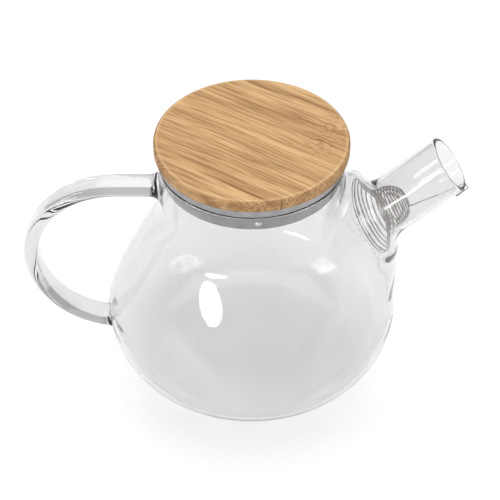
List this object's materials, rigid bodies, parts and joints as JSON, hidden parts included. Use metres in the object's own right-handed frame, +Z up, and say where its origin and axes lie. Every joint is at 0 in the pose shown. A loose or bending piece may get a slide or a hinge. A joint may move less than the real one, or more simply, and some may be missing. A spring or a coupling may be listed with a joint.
{
  "type": "glass teapot",
  "caption": "Blown glass teapot with a strap handle, a straight spout with a wire strainer and a bamboo lid on a sprung steel sleeve.",
  "frame": {"origin": "middle of the flat base on which the pot stands", "axes": "+Z up, +X towards the spout, -X towards the handle"},
  "size_m": [0.2063, 0.1396, 0.1328],
  "materials": {
    "glass": "clear blown borosilicate glass",
    "bamboo": "oiled laminated bamboo",
    "steel_sleeve": "spun stainless steel",
    "silicone": "matt grey silicone",
    "screw_steel": "plain stainless steel",
    "ball_steel": "polished bearing steel",
    "spring_wire": "drawn stainless spring wire"
  },
  "bodies": {
    "pot": {"vessel": "glass", "spout": "glass", "handle": "glass"},
    "seal": {"lid_seal": "silicone"},
    "lid": {"bamboo_disc": "bamboo", "lid_sleeve": "steel_sleeve", "lid_base_plate": "steel_sleeve", "lid_screws": "screw_steel", "detent_housings": "steel_sleeve", "detent_spring_front": "spring_wire", "detent_spring_right": "spring_wire", "detent_spring_left": "spring_wire"},
    "ball_front": {"detent_ball_front": "ball_steel"},
    "ball_right": {"detent_ball_right": "ball_steel"},
    "ball_left": {"detent_ball_left": "ball_steel"},
    "strainer": {"spout_strainer": "spring_wire"}
  },
  "joints": [
    {"name": "lid_lift", "type": "slide", "parent": "pot", "child": "seal", "axis": [0, 0, 1], "range_m": [0, 0.045]},
    {"name": "lid_turn", "type": "hinge", "parent": "seal", "child": "lid", "pos_m": [0, 0, 0.1232], "axis": [0, 0, 1], "continuous": true},
    {"name": "ball_front_press", "type": "slide", "parent": "lid", "child": "ball_front", "axis": [-0.0698, 0.9976, 0], "range_m": [0, 0.0006], "stiffness_N_per_m": 600, "springref_m": -0.0005, "deforming": ["detent_spring_front"]},
    {"name": "ball_right_press", "type": "slide", "parent": "lid", "child": "ball_right", "axis": [-0.829, -0.5592, 0], "range_m": [0, 0.0006], "stiffness_N_per_m": 600, "springref_m": -0.0005, "deforming": ["detent_spring_right"]},
    {"name": "ball_left_press", "type": "slide", "parent": "lid", "child": "ball_left", "axis": [0.8988, -0.4384, 0], "range_m": [0, 0.0006], "stiffness_N_per_m": 600, "springref_m": -0.0005, "deforming": ["detent_spring_left"]},
    {"name": "strainer_pull", "type": "slide", "parent": "pot", "child": "strainer", "axis": [0.7193, 0, 0.6947], "range_m": [0, 0.0005]}
  ]
}
